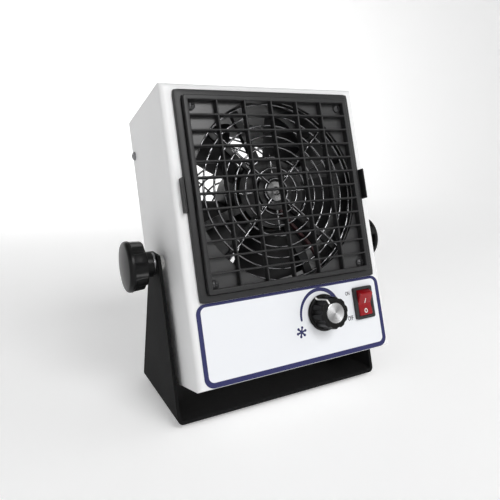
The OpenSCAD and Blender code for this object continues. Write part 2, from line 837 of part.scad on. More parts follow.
module pivot_spacers() {
    for (s = [-1, 1]) color("#e9e9e7") on_side(s) difference() {
        union() {
            cylinder(d = spacer_d, h = spacer_l - 0.4);
            translate([0, 0, spacer_l - 0.4]) cylinder(d1 = spacer_d, d2 = spacer_d - 0.8, h = 0.4);
        }
        translate([0, 0, -eps]) cylinder(r = stud_d / 2 + slip, h = 10);
    }
}

module clamp_washer(side) {
    color("#d0d2d5") on_side(side) translate([0, 0, washer_z])
        ring(washer_d / 2, stud_d / 2 + 0.1, washer_t);
}

module clamp_stud(side) {
    color("#b5b7ba") on_side(side) translate([0, 0, stud_tip])
        cylinder(d = stud_d, h = grip_z + 4 - stud_tip);
}

// Half section of a hand knob's grip: a slightly tapered side, a rounded rim and a domed face
module grip_profile(r, side_l, rim_r, dome_r, top) {
    dome_centre = top - dome_r;
    rim_z = dome_centre + sqrt(pow(dome_r - rim_r, 2) - pow(r - rim_r, 2)) + 0.04;
    polygon([[0, 0], [r - 1.6, 0], [r - 0.9, 0.8], [r - 0.3, side_l], [0, side_l]]);
    translate([0, side_l]) square([r, rim_z - side_l]);
    translate([r - rim_r, rim_z]) circle(rim_r);
    intersection() {
        translate([0, dome_centre]) circle(dome_r, $fn = 360);
        square([r - rim_r, top + 1]);
    }
}

// Knob with a plain boss and a lobed grip under a domed cap
module hand_knob(side) {
    r = hand_knob_d / 2;
    lobe_l = grip_l - 3.6;
    scallop_r = r * 0.42;
    color("#202021") on_side(side) difference() {
        union() {
            translate([0, 0, boss_z]) cylinder(d = boss_d, h = boss_l + 1);
            translate([0, 0, grip_z]) difference() {
                rotate_extrude() grip_profile(r, lobe_l, 2.2, 95, grip_l + 1);
                for (i = [0:lobes - 1]) rotate(i * 360 / lobes)
                    translate([r + scallop_r * 0.46, 0, -1]) cylinder(r = scallop_r, h = lobe_l + 1);
            }
        }
        translate([0, 0, boss_z - 1]) cylinder(d = stud_d, h = grip_z + 4 - boss_z + 1);
    }
}

module left_washer() { clamp_washer(-1); }
module left_stud() { clamp_stud(-1); }
module left_hand_knob() { hand_knob(-1); }
module right_washer() { clamp_washer(1); }
module right_stud() { clamp_stud(1); }
module right_hand_knob() { hand_knob(1); }

stand_bracket();
stand_feet();
case_shell();
rear_cover();
cover_screws();
grille_frame();
frame_screws();
frame_nuts();
grille_cover();
front_guard();
emitter_frame();
emitter_needles();
emitter_contact();
hv_lead();
fan_frame();
fan_spider();
fan_stator();
fan_bearings();
fan_rotor();
fan_shaft();
rear_guard();
rear_guard_screws();
rear_guard_nuts();
control_label();
speed_control();
speed_control_nut();
speed_control_shaft();
speed_knob();
speed_knob_cap();
switch_body();
switch_terminals();
switch_rocker();
power_inlet();
inlet_pins();
inlet_screws();
hv_module();
hv_module_screws();
control_board();
board_parts();
board_standoffs();
board_screws();
pivot_nuts();
pivot_spacers();
left_washer();
left_stud();
left_hand_knob();
right_washer();
right_stud();
right_hand_knob();
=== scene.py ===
import json
import math

import bpy
import numpy as np
from mathutils import Matrix, Vector


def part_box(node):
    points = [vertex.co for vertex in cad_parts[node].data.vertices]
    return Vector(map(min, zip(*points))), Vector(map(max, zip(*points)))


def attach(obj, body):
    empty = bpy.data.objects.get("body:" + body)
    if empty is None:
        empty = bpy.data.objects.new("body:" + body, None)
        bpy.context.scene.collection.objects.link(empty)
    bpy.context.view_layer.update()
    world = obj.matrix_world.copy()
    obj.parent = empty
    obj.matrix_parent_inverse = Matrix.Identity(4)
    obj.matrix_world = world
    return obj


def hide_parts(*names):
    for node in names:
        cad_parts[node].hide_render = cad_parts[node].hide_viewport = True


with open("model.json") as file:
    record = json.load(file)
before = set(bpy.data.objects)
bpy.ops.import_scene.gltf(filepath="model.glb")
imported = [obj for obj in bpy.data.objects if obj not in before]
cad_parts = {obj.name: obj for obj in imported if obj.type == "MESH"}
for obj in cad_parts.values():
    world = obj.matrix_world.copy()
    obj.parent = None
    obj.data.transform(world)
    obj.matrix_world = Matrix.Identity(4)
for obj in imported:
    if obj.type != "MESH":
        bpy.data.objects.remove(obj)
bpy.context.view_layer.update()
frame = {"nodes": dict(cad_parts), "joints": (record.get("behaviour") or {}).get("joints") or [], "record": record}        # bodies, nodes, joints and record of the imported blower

MM = 0.001

# ---------------------------------------------------------------------------
# Places
# ---------------------------------------------------------------------------
# The leaning case has a frame of its own, in millimetres: u to the right, v up the front
# panel from its foot, w straight out of the panel. The fan's joint gives its place.

JOINTS = {j["name"]: j for j in frame["joints"]}
OUT = np.array(JOINTS["fan_spin"]["axis"], float)
SIDE = np.array([1.0, 0.0, 0.0])
UP = np.cross(OUT, SIDE)
OUTLET_V = 110.8                       # height of the air outlet's centre
FAN_DEPTH = 28.0                       # depth of the fan joint's point behind the panel
FOOT = np.array(JOINTS["fan_spin"]["pos_m"]) + MM * (FAN_DEPTH * OUT - OUTLET_V * UP)
AXIS = np.array(JOINTS["head_tilt"]["pos_m"])
CASE_HALF = 69.25

# u and v of the middles of the speed knob, the rocker switch and the printed film
KNOB = (19.55, 30.4)
SWITCH = (51.5, 31.8)
LABEL = (0.6, 24.65)


def on_case(p):
    """Case millimetres to metres: foot of the panel + u * side + v * up + w * out."""
    p = np.asarray(p, float)
    return FOOT + MM * (p[..., 0:1] * SIDE + p[..., 1:2] * UP + p[..., 2:3] * OUT)


def on_outlet(p):
    """The same, with v counted from the air outlet's centre."""
    return on_case(np.asarray(p, float) + [0.0, OUTLET_V, 0.0])


def at_knob(p):
    """The same, with u and v counted from the speed knob's axis."""
    return on_case(np.asarray(p, float) + [KNOB[0], KNOB[1], 0.0])


def on_clamp(p, side):
    """Millimetres round the tilt axis to metres: z runs outward from that side of the case."""
    p = np.asarray(p, float)
    x = side * (CASE_HALF + p[..., 2])
    return AXIS + MM * np.stack([x, p[..., 0], p[..., 1]], -1)


# ---------------------------------------------------------------------------
# Surfaces
# ---------------------------------------------------------------------------

def closed_grid(p, wrap=False):
    """Closed skin over p[i, j]: point j of loop i. Quads join neighbouring loops, wrap joins
    the last loop to the first, and otherwise a flat face closes each end. The faces are
    turned over where the volume they enclose comes out negative."""
    m, k = p.shape[:2]
    rows = np.arange(m if wrap else m - 1)
    i, j = np.meshgrid(rows, np.arange(k), indexing="ij")
    i2, j2 = (i + 1) % m, (j + 1) % k
    quads = np.stack([i * k + j, i2 * k + j, i2 * k + j2, i * k + j2], -1).reshape(-1, 4)
    v = p.reshape(-1, 3)
    fans = [quads[:, [0, 1, 2]], quads[:, [0, 2, 3]]]
    ends = []
    if not wrap:
        first, last = np.arange(k), np.arange(k)[::-1] + (m - 1) * k
        ends = [first, last]
        fans += [np.stack([np.full(k - 2, e[0]), e[1:-1], e[2:]], -1) for e in ends]
    t = v[np.concatenate(fans)]
    volume = np.einsum("ij,ij->i", t[:, 0], np.cross(t[:, 1], t[:, 2])).sum()
    faces = quads.tolist() + [e.tolist() for e in ends]
    if volume < 0:
        faces = [f[::-1] for f in faces]
    return v, faces


def joined(*shells):
    """Several shells as one: their points in a row, with each face counted on from there."""
    verts, faces, start = [], [], 0
    for v, f in shells:
        verts.append(v)
        faces += [[n + start for n in face] for face in f]
        start += len(v)
    return np.concatenate(verts), faces


def piece(name, shell, finish, body, replaces=(), crease=32):
    """Puts a shell into the scene as one smooth-shaded piece that rides on a CAD body. Edges
    that bend more than crease degrees stay sharp."""
    verts, faces = shell
    mesh = bpy.data.meshes.new(name)
    mesh.from_pydata(verts.tolist(), [], faces)
    mesh.materials.append(finish)
    mesh.shade_smooth()
    mesh.set_sharp_from_angle(angle=math.radians(crease))
    mesh.update()
    obj = bpy.data.objects.new(name, mesh)
    bpy.context.scene.collection.objects.link(obj)
    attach(obj, body)
    if replaces:
        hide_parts(*replaces)
    return obj


def circle(n):
    """n unit vectors round a circle."""
    a = np.arange(n) * 2 * np.pi / n
    return np.stack([np.cos(a), np.sin(a)], -1)


def square_reach(directions, half, corner):
    """Distance from the centre to a rounded square's edge, along each direction. A side is met
    at half / max(|x|, |y|); past the corner's centre it is the corner circle that is met."""
    d = np.abs(directions)
    flat = half / d.max(-1)
    c = half - corner
    along = (d * c).sum(-1)
    arc = along + np.sqrt(np.maximum(corner ** 2 - 2 * c ** 2 + along ** 2, 0.0))
    rounded = (d * flat[:, None]).min(-1) > c
    return np.where(rounded, arc, flat)


def rect_loop(w, h, r, n=7):
    """Loop of a w by h rectangle: four quarter circles of radius r, n points each."""
    a = np.linspace(0.0, np.pi / 2, n)
    quarter = []
    for turn, (sx, sy) in enumerate([(1, 1), (-1, 1), (-1, -1), (1, -1)]):
        b = a + turn * np.pi / 2
        quarter.append(np.stack([sx * (w / 2 - r) + r * np.cos(b),
                                 sy * (h / 2 - r) + r * np.sin(b)], -1))
    return np.concatenate(quarter)


def lifted(loop, z):
    """A flat loop raised to height z."""
    return np.concatenate([loop, np.full((len(loop), 1), float(z))], -1)


def turned(profile, n=96):
    """Solid of revolution about z: each profile point (r, z) goes round a circle."""
    profile = np.asarray(profile, float)
    ring = circle(n)
    xy = profile[:, None, 0:1] * ring[None]
    z = np.broadcast_to(profile[:, None, 1:2], xy.shape[:2] + (1,))
    return np.concatenate([xy, z], -1)


def arc(cx, cz, r, start, end, n=6):
    """Points of a circle's arc from start to end, in degrees."""
    a = np.radians(np.linspace(start, end, n))
    return np.stack([cx + r * np.cos(a), cz + r * np.sin(a)], -1)


def bar_section(width, z0, z1, r, draft=0.0, n=4):
    """Section of a grille bar across its length: flat back at z0, sides that draw in by draft
    towards the front, and a front edge at z1 rounded by r."""
    half = width / 2
    right = arc(half - draft - r, z1 - r, r, 0, 90, n)
    left = right[::-1] * [-1, 1]
    return np.concatenate([[[-half, z0], [half, z0]], right, left])


def bar(a, b, section):
    """Straight bar from a to b in the panel's plane: the section (across, w) carried along,
    with across at right angles to the bar."""
    a, b = np.asarray(a, float), np.asarray(b, float)
    along = (b - a) / np.linalg.norm(b - a)
    across = np.array([along[1], -along[0]])
    loops = [np.concatenate([end + section[:, :1] * across, section[:, 1:]], -1)
             for end in (a, b)]
    return np.stack(loops)


def ring_of_rects(w, h, r, section, n=7):
    """Rectangular frame: each section point (inset, z) is a smaller copy of the outline, so the
    section goes round the outline with mitred corners."""
    return np.stack([lifted(rect_loop(w - 2 * d, h - 2 * d, max(r - d, 0.25), n), z)
                     for d, z in section])


# ---------------------------------------------------------------------------
# Finishes
# ---------------------------------------------------------------------------

def group(name, inputs, outputs):
    """Empty shader group with named sockets, and its input and output nodes."""
    g = bpy.data.node_groups.new(name, "ShaderNodeTree")
    for label, kind, value in inputs:
        s = g.interface.new_socket(label, in_out="INPUT", socket_type=kind)
        if value is not None:
            s.default_value = value
    for label, kind in outputs:
        g.interface.new_socket(label, in_out="OUTPUT", socket_type=kind)
    return g, g.nodes.new("NodeGroupInput"), g.nodes.new("NodeGroupOutput")


def noise(tree, vector, scale, detail=3.0, rough=0.5):
    """Noise texture node on a vector. scale is a number or a socket."""
    n = tree.nodes.new("ShaderNodeTexNoise")
    n.inputs["Detail"].default_value = detail
    n.inputs["Roughness"].default_value = rough
    tree.links.new(vector, n.inputs["Vector"])
    if isinstance(scale, (int, float)):
        n.inputs["Scale"].default_value = scale
    else:
        tree.links.new(scale, n.inputs["Scale"])
    return n.outputs["Fac"]


def math_node(tree, kind, a, b, clamp=False):
    """Math node: a kind b, where each is a number or a socket."""
    n = tree.nodes.new("ShaderNodeMath")
    n.operation = kind
    n.use_clamp = clamp
    for i, x in enumerate((a, b)):
        if isinstance(x, (int, float)):
            n.inputs[i].default_value = x
        else:
            tree.links.new(x, n.inputs[i])
    return n.outputs[0]


def make_grain():
    """Fine relief: a noise at the given scale, plus a share of one three times finer."""
    g, i, o = group("fine_grain", [("Vector", "NodeSocketVector", None),
                                   ("Scale", "NodeSocketFloat", 900.0),
                                   ("Fine Share", "NodeSocketFloat", 0.4)],
                    [("Height", "NodeSocketFloat")])
    coarse = noise(g, i.outputs["Vector"], i.outputs["Scale"], 2.0)
    fine = noise(g, i.outputs["Vector"],
                 math_node(g, "MULTIPLY", i.outputs["Scale"], 3.0), 1.0)
    height = math_node(g, "ADD", coarse, math_node(g, "MULTIPLY", fine,
                                                   i.outputs["Fine Share"]))
    g.links.new(height, o.inputs["Height"])
    return g


def make_tone():
    """Uneven colour and gloss: a slow noise darkens the colour by up to Amount and moves the
    roughness to either side of its middle value by up to Gloss Spread."""
    g, i, o = group("uneven_tone", [("Vector", "NodeSocketVector", None),
                                    ("Scale", "NodeSocketFloat", 25.0),
                                    ("Color", "NodeSocketColor", (1, 1, 1, 1)),
                                    ("Amount", "NodeSocketFloat", 0.08),
                                    ("Roughness", "NodeSocketFloat", 0.5),
                                    ("Gloss Spread", "NodeSocketFloat", 0.1)],
                    [("Color", "NodeSocketColor"), ("Roughness", "NodeSocketFloat")])
    n = noise(g, i.outputs["Vector"], i.outputs["Scale"], 4.0, 0.6)
    dark = math_node(g, "MULTIPLY", n, i.outputs["Amount"])
    keep = math_node(g, "SUBTRACT", 1.0, dark)
    scale = g.nodes.new("ShaderNodeVectorMath")
    scale.operation = "SCALE"
    g.links.new(i.outputs["Color"], scale.inputs[0])
    g.links.new(keep, scale.inputs["Scale"])
    g.links.new(scale.outputs[0], o.inputs["Color"])
    swing = math_node(g, "MULTIPLY", math_node(g, "SUBTRACT", n, 0.5),
                      i.outputs["Gloss Spread"])
    rough = math_node(g, "ADD", i.outputs["Roughness"], swing, clamp=True)
    g.links.new(rough, o.inputs["Roughness"])
    return g


def make_dust():
    """Dust that settles on faces that look up: the normal's upward part, cut by a patchy
    noise, mixes a pale colour into the surface's own."""
    g, i, o = group("settled_dust", [("Vector", "NodeSocketVector", None),
                                     ("Normal", "NodeSocketVector", None),
                                     ("Color", "NodeSocketColor", (0, 0, 0, 1)),
                                     ("Dust Color", "NodeSocketColor", (0.35, 0.34, 0.32, 1)),
                                     ("Amount", "NodeSocketFloat", 0.1)],
                    [("Color", "NodeSocketColor")])
    xyz = g.nodes.new("ShaderNodeSeparateXYZ")
    g.links.new(i.outputs["Normal"], xyz.inputs[0])
    patch = noise(g, i.outputs["Vector"], 300.0, 4.0, 0.7)
    level = math_node(g, "MULTIPLY", math_node(g, "MULTIPLY", xyz.outputs["Z"], patch,
                                               clamp=True), i.outputs["Amount"])
    mix = g.nodes.new("ShaderNodeMix")
    mix.data_type = "RGBA"
    g.links.new(level, mix.inputs["Factor"])
    g.links.new(i.outputs["Color"], mix.inputs["A"])
    g.links.new(i.outputs["Dust Color"], mix.inputs["B"])
    g.links.new(mix.outputs["Result"], o.inputs["Color"])
    return g


def make_turning_and_painted_sheen():
    """Turned metal: fine rings round the vector's z axis, with a noise that breaks them up,
    and a painted sheen: two opposite sectors darkened in the colour, standing in for the
    bow-tie reflection of spun metal. The colour keeps the share 1 - s (1 + sin 2a) / 2, where
    s is the painted sheen's strength and sin 2a = 2 x y / (x^2 + y^2)."""
    g, i, o = group("turning_marks_and_painted_sheen", [("Vector", "NodeSocketVector", None),
                                      ("Color", "NodeSocketColor", (1, 1, 1, 1)),
                                      ("Painted Sheen", "NodeSocketFloat", 0.6),
                                      ("Rings", "NodeSocketFloat", 2500.0)],
                    [("Height", "NodeSocketFloat"), ("Color", "NodeSocketColor")])
    xyz = g.nodes.new("ShaderNodeSeparateXYZ")
    g.links.new(i.outputs["Vector"], xyz.inputs[0])
    x, y = xyz.outputs["X"], xyz.outputs["Y"]
    square = math_node(g, "ADD", math_node(g, "MULTIPLY", x, x), math_node(g, "MULTIPLY", y, y))
    half_sine = math_node(g, "DIVIDE", math_node(g, "MULTIPLY", x, y), square)
    # Painted sheen: the share of the colour that two opposite sectors lose.
    share = math_node(g, "MULTIPLY", math_node(g, "ADD", half_sine, 0.5), i.outputs["Painted Sheen"])
    keep = g.nodes.new("ShaderNodeVectorMath")
    keep.operation = "SCALE"
    g.links.new(i.outputs["Color"], keep.inputs[0])
    g.links.new(math_node(g, "SUBTRACT", 1.0, share), keep.inputs["Scale"])
    g.links.new(keep.outputs[0], o.inputs["Color"])
    flat = g.nodes.new("ShaderNodeVectorMath")
    flat.operation = "MULTIPLY"
    flat.inputs[1].default_value = (1, 1, 0)
    g.links.new(i.outputs["Vector"], flat.inputs[0])
    length = g.nodes.new("ShaderNodeVectorMath")
    length.operation = "LENGTH"
    g.links.new(flat.outputs[0], length.inputs[0])
    n = g.nodes.new("ShaderNodeTexNoise")
    n.noise_dimensions = "1D"
    n.inputs["Detail"].default_value = 2.0
    g.links.new(i.outputs["Rings"], n.inputs["Scale"])
    g.links.new(length.outputs["Value"], n.inputs["W"])
    g.links.new(n.outputs["Fac"], o.inputs["Height"])
    return g


GRAIN, TONE, DUST, TURNING_AND_SHEEN = make_grain(), make_tone(), make_dust(), make_turning_and_painted_sheen()


def put(tree, g, **values):
    """Places a group in a material and sets or links its named inputs."""
    n = tree.nodes.new("ShaderNodeGroup")
    n.node_tree = g
    for label, value in values.items():
        socket = n.inputs[label.replace("_", " ")]
        if isinstance(value, bpy.types.NodeSocket):
            tree.links.new(value, socket)
        else:
            socket.default_value = value
    return n.outputs


def finish(name, color, roughness, metallic=0.0, grain=900.0, relief=0.02, depth=0.05,
           fine=0.4, tone=0.08, tone_scale=25.0, spread=0.1, dust=0.0, coat=0.0,
           specular=0.5, turning_and_sheen=None, glow=0.0):
    """Material whose colour and roughness vary slowly, with fine relief as bump. tone is how
    far the colour darkens, spread how far the roughness swings, fine the share of the finer
    grain and dust how much lies on top. depth is the relief's height in millimetres. Given a
    place and angles for turned metal, the material gets turned rings about the place, a
    painted sheen of two opposite sectors darkened in the colour, and gloss that spreads along
    the radius, which is the position less the place. glow is the light that the surface gives
    off itself, which only the studio floor does."""
    m = bpy.data.materials.new(name)
    m.use_nodes = True
    t = m.node_tree
    shader = t.nodes["Principled BSDF"]
    where = t.nodes.new("ShaderNodeTexCoord")
    vector = where.outputs["Object"]
    out = put(t, TONE, Vector=vector, Scale=tone_scale, Color=(*color, 1.0), Amount=tone,
              Roughness=roughness, Gloss_Spread=spread)
    shade = out["Color"]
    if dust:
        shade = put(t, DUST, Vector=vector, Normal=where.outputs["Normal"], Color=shade,
                    Amount=dust)["Color"]
    t.links.new(shade, shader.inputs["Base Color"])
    t.links.new(out["Roughness"], shader.inputs["Roughness"])
    shader.inputs["Metallic"].default_value = metallic
    shader.inputs["Coat Weight"].default_value = coat
    shader.inputs["Specular IOR Level"].default_value = specular
    shader.inputs["Emission Color"].default_value = (1.0, 1.0, 1.0, 1.0)
    shader.inputs["Emission Strength"].default_value = glow
    height = put(t, GRAIN, Vector=vector, Scale=grain, Fine_Share=fine)["Height"]
    if turning_and_sheen is not None:
        place, turn = turning_and_sheen
        mapping = t.nodes.new("ShaderNodeMapping")
        mapping.vector_type = "TEXTURE"
        mapping.inputs["Location"].default_value = place
        mapping.inputs["Rotation"].default_value = turn
        t.links.new(vector, mapping.inputs["Vector"])
        # Painted sheen: the turning group darkens two opposite sectors of the colour.
        marks = put(t, TURNING_AND_SHEEN, Vector=mapping.outputs[0], Color=shade)
        height = marks["Height"]
        t.links.new(marks["Color"], shader.inputs["Base Color"])
        radius = t.nodes.new("ShaderNodeVectorMath")
        radius.operation = "SUBTRACT"
        radius.inputs[1].default_value = place
        t.links.new(vector, radius.inputs[0])
        along = t.nodes.new("ShaderNodeVectorTransform")
        along.vector_type, along.convert_from, along.convert_to = "VECTOR", "OBJECT", "WORLD"
        t.links.new(radius.outputs[0], along.inputs[0])
        t.links.new(along.outputs[0], shader.inputs["Tangent"])
        shader.inputs["Anisotropic"].default_value = 0.8
    bump = t.nodes.new("ShaderNodeBump")
    bump.inputs["Strength"].default_value = relief
    bump.inputs["Distance"].default_value = depth * MM
    t.links.new(height, bump.inputs["Height"])
    t.links.new(bump.outputs[0], shader.inputs["Normal"])
    return m


panel_turn = Matrix((SIDE, UP, OUT)).transposed().to_euler()
knob_place = Vector(at_knob([0, 0, 0]))

white_paint = finish("white_powder_coat", (0.86, 0.862, 0.865), 0.42, grain=700, relief=0.5,
                     depth=0.06, tone=0.03, spread=0.08, coat=0.1, specular=0.12)
black_paint = finish("black_powder_coat", (0.012, 0.012, 0.0125), 0.50, grain=1900,
                     relief=0.6, depth=0.05, tone=0.25, spread=0.12, dust=0.02, specular=0.02)
black_plastic = finish("black_moulding", (0.022, 0.022, 0.023), 0.40, grain=2600, relief=0.4,
                       depth=0.03, tone=0.2, spread=0.12, dust=0.06, specular=0.3)
smooth_plastic = finish("smooth_black_moulding", (0.038, 0.038, 0.039), 0.30, grain=2600,
                        relief=0.2, depth=0.02, tone=0.15, spread=0.1, dust=0.03)
knob_plastic = finish("knob_moulding", (0.007, 0.007, 0.0073), 0.28, grain=2200,
                      relief=0.3, depth=0.02, tone=0.2, spread=0.10, dust=0.03, specular=0.14)
chrome_wire = finish("bright_wire", (0.30, 0.30, 0.31), 0.2, 1.0, grain=1500, relief=0.2,
                     depth=0.02, tone=0.15, tone_scale=60, spread=0.12)
zinc = finish("zinc_plate", (0.62, 0.62, 0.60), 0.34, 1.0, grain=1200, relief=0.25, depth=0.02,
              tone=0.25, tone_scale=120, spread=0.2)
steel = finish("ground_steel", (0.66, 0.66, 0.67), 0.25, 1.0, grain=2400, relief=0.2,
               depth=0.02, tone=0.15, tone_scale=90, spread=0.15)
black_screw = finish("blackened_screw", (0.05, 0.05, 0.052), 0.38, 0.4, grain=1500, relief=0.3,
                     depth=0.03, tone=0.3, tone_scale=150, spread=0.2)
rubber = finish("foot_rubber", (0.018, 0.018, 0.018), 0.85, grain=1500, relief=0.5, depth=0.06,
                tone=0.3, spread=0.1, specular=0.3)
film = finish("label_film", (0.84, 0.855, 0.885), 0.34, grain=3200, relief=0.2, depth=0.01,
              tone=0.02, spread=0.08, coat=0.15)
ink = finish("navy_print", (0.008, 0.010, 0.10), 0.5, grain=3200, relief=0.2, depth=0.01,
             tone=0.12, tone_scale=200, spread=0.08)
black_ink = finish("black_print", (0.03, 0.03, 0.04), 0.45, grain=3200, relief=0.2, depth=0.01,
                   tone=0.12, tone_scale=200, spread=0.08)
white_ink = finish("white_print", (0.82, 0.82, 0.80), 0.5, grain=3200, relief=0.2, depth=0.01,
                   tone=0.08, tone_scale=200, spread=0.08)
# The cap's colour has a painted sheen: two opposite sectors darker, standing in for the reflection
# of spun metal.
cap_metal = finish("spun_cap_painted_sheen", (0.82, 0.82, 0.83), 0.26, 1.0, relief=0.5, depth=0.02,
                   tone=0.12, tone_scale=180, spread=0.14, turning_and_sheen=(knob_place, panel_turn))
red_plastic = finish("rocker_red", (0.30, 0.004, 0.008), 0.24, grain=1800, relief=0.15,
                     depth=0.02, tone=0.12, tone_scale=90, spread=0.08, coat=0.2, specular=0.25)
nickel = finish("dull_nickel", (0.30, 0.30, 0.30), 0.30, 1.0, grain=1500, relief=0.2,
                depth=0.02, tone=0.3, tone_scale=150, spread=0.2)
brass = finish("tinned_brass", (0.70, 0.58, 0.34), 0.35, 1.0, grain=1500, relief=0.2,
               depth=0.02, tone=0.3, tone_scale=150, spread=0.2)
nylon = finish("white_nylon", (0.90, 0.90, 0.88), 0.5, grain=1100, relief=0.25, depth=0.03,
               tone=0.08, tone_scale=80, spread=0.08)
winding = finish("enamelled_winding", (0.36, 0.12, 0.035), 0.35, 0.3, grain=3000, relief=0.8,
                 depth=0.12, tone=0.4, tone_scale=200, spread=0.2)
board_green = finish("solder_mask", (0.015, 0.12, 0.045), 0.3, grain=1300, relief=0.3,
                     depth=0.03, tone=0.35, tone_scale=150, spread=0.1, coat=0.3)
component = finish("component_cases", (0.03, 0.045, 0.09), 0.45, grain=900, relief=0.3,
                   depth=0.04, tone=0.4, tone_scale=60, spread=0.15)
lead_red = finish("lead_sheath", (0.032, 0.002, 0.003), 0.45, grain=1200, relief=0.2,
                  depth=0.03, tone=0.25, tone_scale=70, spread=0.12)
potting = finish("potting_resin", (0.014, 0.014, 0.017), 0.28, grain=500, relief=0.4,
                 depth=0.08, tone=0.3, tone_scale=60, spread=0.15)

FINISHES = {
    "white_paint": white_paint, "black_paint": black_paint, "black_plastic": black_plastic,
    "knob_plastic": knob_plastic, "chrome_wire": chrome_wire, "zinc": zinc, "rubber": rubber,
    "label_film": film, "spun_aluminium": cap_metal, "red_plastic": red_plastic,
    "brass": brass, "white_nylon": nylon, "winding": winding, "board_green": board_green,
    "component": component, "lead_red": lead_red, "potting": potting, "steel": steel,
    "black_screw": black_screw,
}
for part in frame["record"]["subparts"]:
    node = frame["nodes"][part["node"]]
    node.data.materials.clear()
    node.data.materials.append(FINISHES[part["material_slot"]])
# The emitter's contact has the needles' slot, but a duller plating than theirs.
frame["nodes"]["emitter_contact"].data.materials[0] = nickel

# ---------------------------------------------------------------------------
# Air outlet
# ---------------------------------------------------------------------------

FRAME_HALF = 62.25                     # the frame, out to its outer side
HOLE_R = 57.0                          # its round hole
PLATE_TOP = 1.8                        # its corner plates' height
BORDER_IN, BORDER_TOP = 58.2, 2.8      # its raised border, inner side and height
CORNER_R = 1.5
COVER_W = 115.8
COVER_OPEN = 111.0
COVER_BACK, COVER_FRONT = 1.9, 6.2
CELLS_X, CELLS_Y = 6, 12
BAR_T = 1.1


def outlet_frame():
    """Square frame with a round hole: 256 directions from the centre by a section that runs
    up the hole, out over the plate, up on to the raised border and down its outside. Each
    point's reach is a circle's in the hole and a rounded square's beyond it."""
    ring = circle(256)
    steps = [(0, HOLE_R, 0.0), (0, HOLE_R, 1.5), (0, HOLE_R + 0.1, PLATE_TOP - 0.08),
             (0, HOLE_R + 0.35, PLATE_TOP), (1, BORDER_IN, PLATE_TOP),
             (1, BORDER_IN + 0.1, BORDER_TOP - 0.15), (1, BORDER_IN + 0.25, BORDER_TOP),
             (1, FRAME_HALF - 0.5, BORDER_TOP), (1, FRAME_HALF - 0.15, BORDER_TOP - 0.15),
             (1, FRAME_HALF, BORDER_TOP - 0.5), (1, FRAME_HALF, 0.02)]
    loops = []
    for square, size, w in steps:
        reach = square_reach(ring, size, CORNER_R) if square else np.full(len(ring), size)
        loops.append(lifted(ring * reach[:, None], w))
    return closed_grid(on_outlet(np.stack(loops)), wrap=True)


def plate_face():
    """Smooth face of the frame's corner plates: from the round hole out to the raised border,
    a hair above the moulding. Its loops reach a circle inside and a rounded square outside."""
    ring = circle(256)
    inside = ring * (HOLE_R + 0.45)
    outside = ring * square_reach(ring, BORDER_IN - 0.05, CORNER_R)[:, None]
    low, top = PLATE_TOP - 0.3, PLATE_TOP + 0.03
    loops = [lifted(inside, low), lifted(inside, top), lifted(outside, top),
             lifted(outside, low)]
    return closed_grid(on_outlet(np.stack(loops)), wrap=True)


def cover_border():
    """Border of the clip-on cover: its section goes round a rounded square, with the front
    edges rounded off by quarter circles."""
    width, r = (COVER_W - COVER_OPEN) / 2 + BAR_T / 2, 0.6
    back = [[width, COVER_BACK], [0.0, COVER_BACK]]
    outer = arc(r, COVER_FRONT - r, r, 180, 90)
    inner = arc(width - r, COVER_FRONT - r, r, 90, 0)
    section = np.concatenate([back, outer, inner])
    return closed_grid(on_outlet(ring_of_rects(COVER_W, COVER_W, 1.6, section)), wrap=True)


def cover_bars():
    """Bars between the cover's openings, evenly spaced both ways. The upright bars' fronts
    stand a little behind those of the level bars."""
    half = COVER_OPEN / 2
    shells = []
    level = bar_section(BAR_T + 0.2, COVER_BACK, COVER_FRONT - 0.1, 0.42, 0.1)
    upright = bar_section(BAR_T + 0.2, COVER_BACK, COVER_FRONT - 0.25, 0.42, 0.1)
    for k in range(1, CELLS_Y):
        v = -half + k * COVER_OPEN / CELLS_Y
        shells.append(closed_grid(on_outlet(bar((-half, v), (half, v), level))))
    for k in range(1, CELLS_X):
        u = -half + k * COVER_OPEN / CELLS_X
        shells.append(closed_grid(on_outlet(bar((u, -half), (u, half), upright))))
    return joined(*shells)


def finger_tab(side):
    """Finger tab beside the frame: an L-shaped section, a thin foot along the panel and an
    upright plate with a rounded edge, carried up the panel and drawn in at its ends."""
    foot, foot_t, inner, outer, top, r = 61.9, 0.8, 63.65, 64.65, 5.9, 0.4
    section = np.concatenate([
        [[foot, 0.02], [outer - 0.1, 0.02], [outer, 0.12]],
        arc(outer - r, top - r, r, 0, 90), arc(inner + r, top - r, r, 90, 180),
        [[inner, foot_t + 0.3], [inner - 0.3, foot_t], [foot, foot_t]]])
    middle = section.mean(0)
    loops = []
    for v, shrink in [(-10, 0.94), (-9.85, 0.98), (-9.5, 1.0), (9.5, 1.0), (9.85, 0.98),
                      (10, 0.94)]:
        s = middle + (section - middle) * shrink
        loops.append(np.stack([side * s[:, 0], np.full(len(s), float(v)), s[:, 1]], -1))
    return closed_grid(on_outlet(np.stack(loops)))


piece("outlet_frame_moulding", joined(outlet_frame(), finger_tab(-1), finger_tab(1)),
      black_plastic, "case", ["grille_frame"])
piece("corner_plates", plate_face(), smooth_plastic, "case")
piece("cover_grille", joined(cover_border(), cover_bars()), black_plastic, "outlet_cover",
      ["grille_cover"])

# ---------------------------------------------------------------------------
# Fan and lead
# ---------------------------------------------------------------------------

FAN_END = -47.0
HUB_R = 25.0
CUP_L = 31.0
TIP_R = 56.0
BLADES = 5
ROTOR_TURN = -0.22                     # where the rotor stands at rest, in radians


def rotor_hub():
    """Rotor cup with its bore: a closed section turned about the fan's axis, with the rim and
    the closed end rounded."""
    section = np.concatenate([
        [[1.5, 0.0]], arc(HUB_R - 1.6, 1.6, 1.6, -90, 0, 7),
        arc(HUB_R - 0.5, CUP_L - 0.5, 0.5, 0, 90, 4),
        arc(HUB_R - 1.5, CUP_L - 0.5, 0.5, 90, 180, 4),
        [[HUB_R - 2.0, 2.0], [4.0, 2.0], [4.0, 6.0], [1.5, 6.0]]])
    return turned(section, 128)


